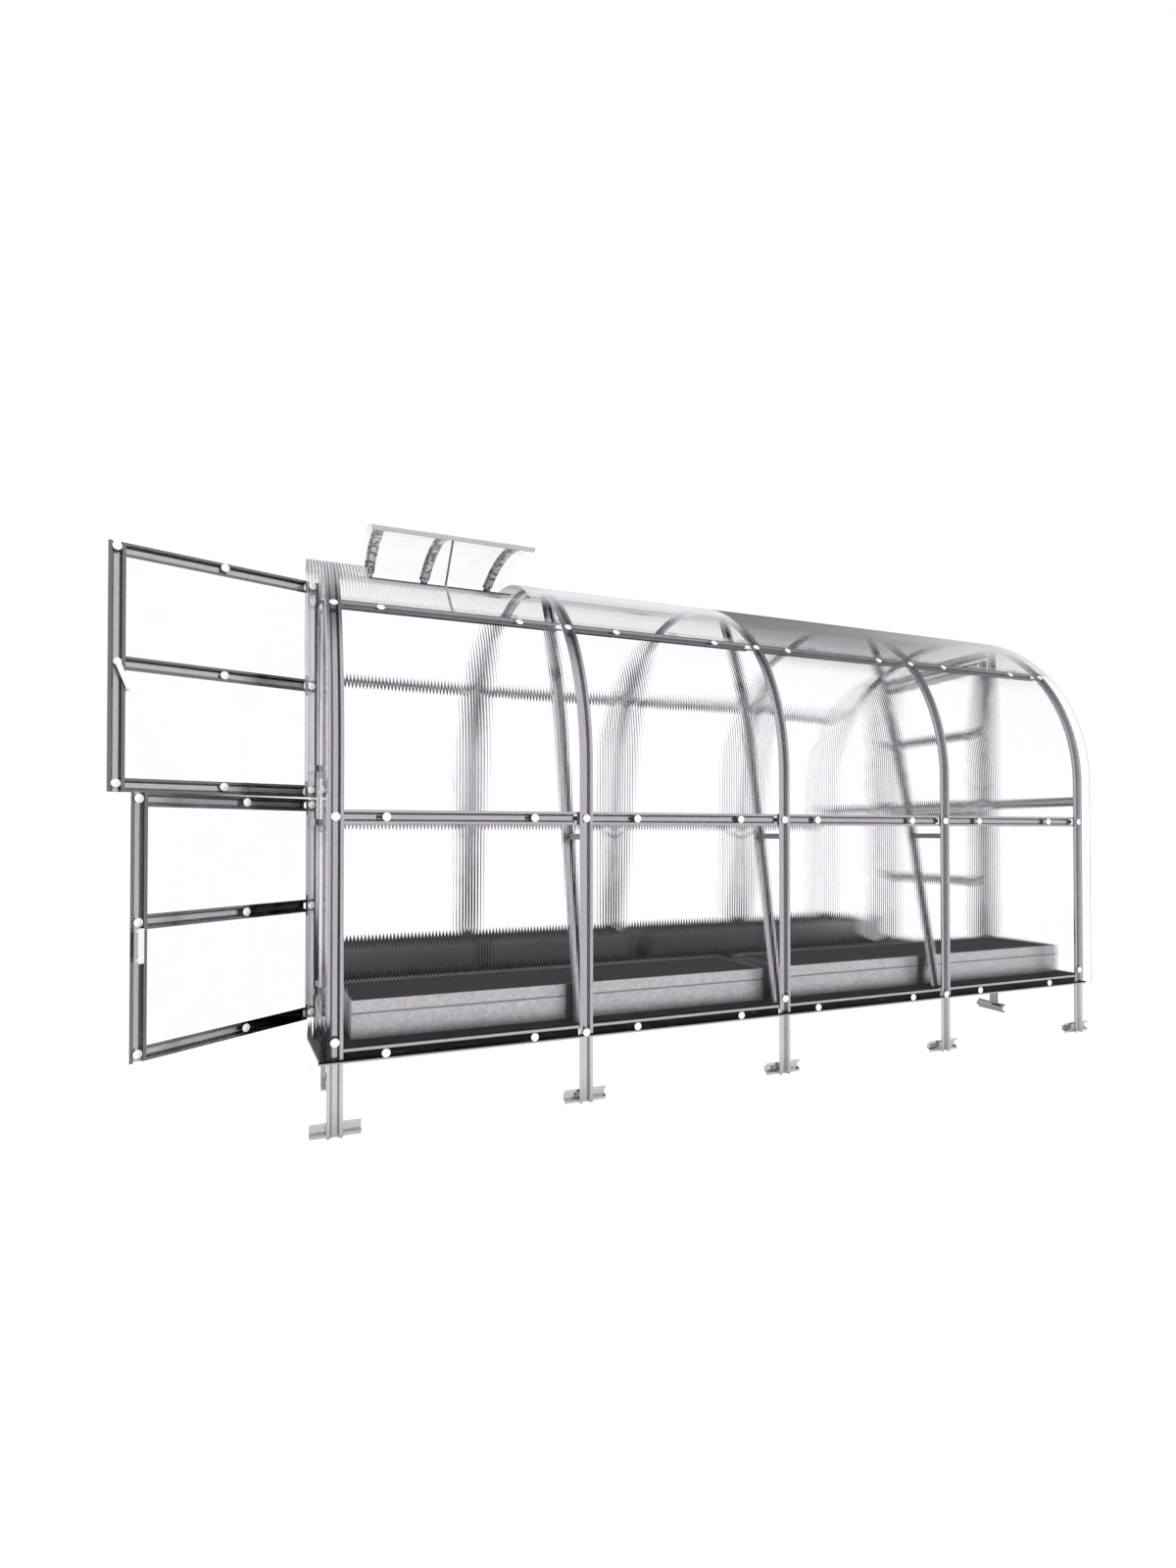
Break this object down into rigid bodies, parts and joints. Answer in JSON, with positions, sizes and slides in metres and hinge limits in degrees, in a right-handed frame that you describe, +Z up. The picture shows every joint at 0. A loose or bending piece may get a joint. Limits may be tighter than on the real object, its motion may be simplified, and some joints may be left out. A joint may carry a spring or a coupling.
{
  "type": "arched polycarbonate greenhouse",
  "caption": "Arched greenhouse of galvanised hat profile and clear twin-wall sheet on sunk legs, with stable doors in both gables, an open roof vent and planting beds inside.",
  "frame": {"origin": "at the near left corner leg: X at the leg's centre, Y at the outer plane of its flanges, Z at its foot", "axes": "+X along the ridge from the open doors to the closed ones, +Y across to the far side, +Z up"},
  "size_m": [4.9026, 2.0504, 2.5016],
  "materials": {
    "galvanised_steel": "satin galvanised",
    "clear_sheet": "clear, fluted inside",
    "bed_panel": "galvanised with spangle",
    "soil": "crumbly, dark",
    "dark_floor": "dark board, slightly rough",
    "black_seal": "smooth black strip",
    "dark_rod": "dull",
    "white_plastic": "smooth"
  },
  "bodies": {
    "greenhouse": {"arch_1": "galvanised_steel", "arch_2": "galvanised_steel", "arch_3": "galvanised_steel", "arch_4": "galvanised_steel", "arch_5": "galvanised_steel", "strut_pair_2": "galvanised_steel", "strut_pair_3": "galvanised_steel", "strut_pair_4": "galvanised_steel", "feet": "galvanised_steel", "base_rails": "galvanised_steel", "mid_rails": "galvanised_steel", "upper_purlins": "galvanised_steel", "ridge_purlin": "galvanised_steel", "gable_jambs_left": "galvanised_steel", "gable_rails_left": "galvanised_steel", "gable_jambs_right": "galvanised_steel", "gable_rails_right": "galvanised_steel", "vent_frame": "galvanised_steel", "floor_cleats": "galvanised_steel", "hinge_pins_left": "galvanised_steel", "hinge_pins_right": "galvanised_steel", "roof_sheet_left": "clear_sheet", "roof_sheet_right": "clear_sheet", "gable_sheets_left": "clear_sheet", "gable_sheets_right": "clear_sheet", "vent_sheet": "clear_sheet", "bed_near": "bed_panel", "bed_far": "bed_panel", "soil_near": "soil", "soil_far": "soil", "floor_panel": "dark_floor", "vent_stay": "dark_rod", "edge_seals": "black_seal"},
    "door_left_upper": {"left_upper_frame": "galvanised_steel", "left_upper_sheet": "clear_sheet", "left_upper_handle": "white_plastic"},
    "door_left_lower": {"left_lower_frame": "galvanised_steel", "left_lower_sheet": "clear_sheet", "left_lower_handle": "white_plastic"},
    "door_right_upper": {"right_upper_frame": "galvanised_steel", "right_upper_sheet": "clear_sheet", "right_upper_handle": "white_plastic"},
    "door_right_lower": {"right_lower_frame": "galvanised_steel", "right_lower_sheet": "clear_sheet", "right_lower_handle": "white_plastic"}
  },
  "joints": [
    {"name": "left_upper_hinge", "type": "hinge", "parent": "greenhouse", "child": "door_left_upper", "pos_m": [-0.038, 0.6165, 1.74], "axis": [0, 0, 1], "range_deg": [-108.1, 41.9]},
    {"name": "left_lower_hinge", "type": "hinge", "parent": "greenhouse", "child": "door_left_lower", "pos_m": [-0.038, 0.6165, 0.8], "axis": [0, 0, 1], "range_deg": [-127.4, 22.6]},
    {"name": "right_upper_hinge", "type": "hinge", "parent": "greenhouse", "child": "door_right_upper", "pos_m": [4.038, 0.6165, 1.74], "axis": [0, 0, -1], "range_deg": [0, 150]},
    {"name": "right_lower_hinge", "type": "hinge", "parent": "greenhouse", "child": "door_right_lower", "pos_m": [4.038, 0.6165, 0.8], "axis": [0, 0, -1], "range_deg": [0, 150]}
  ]
}
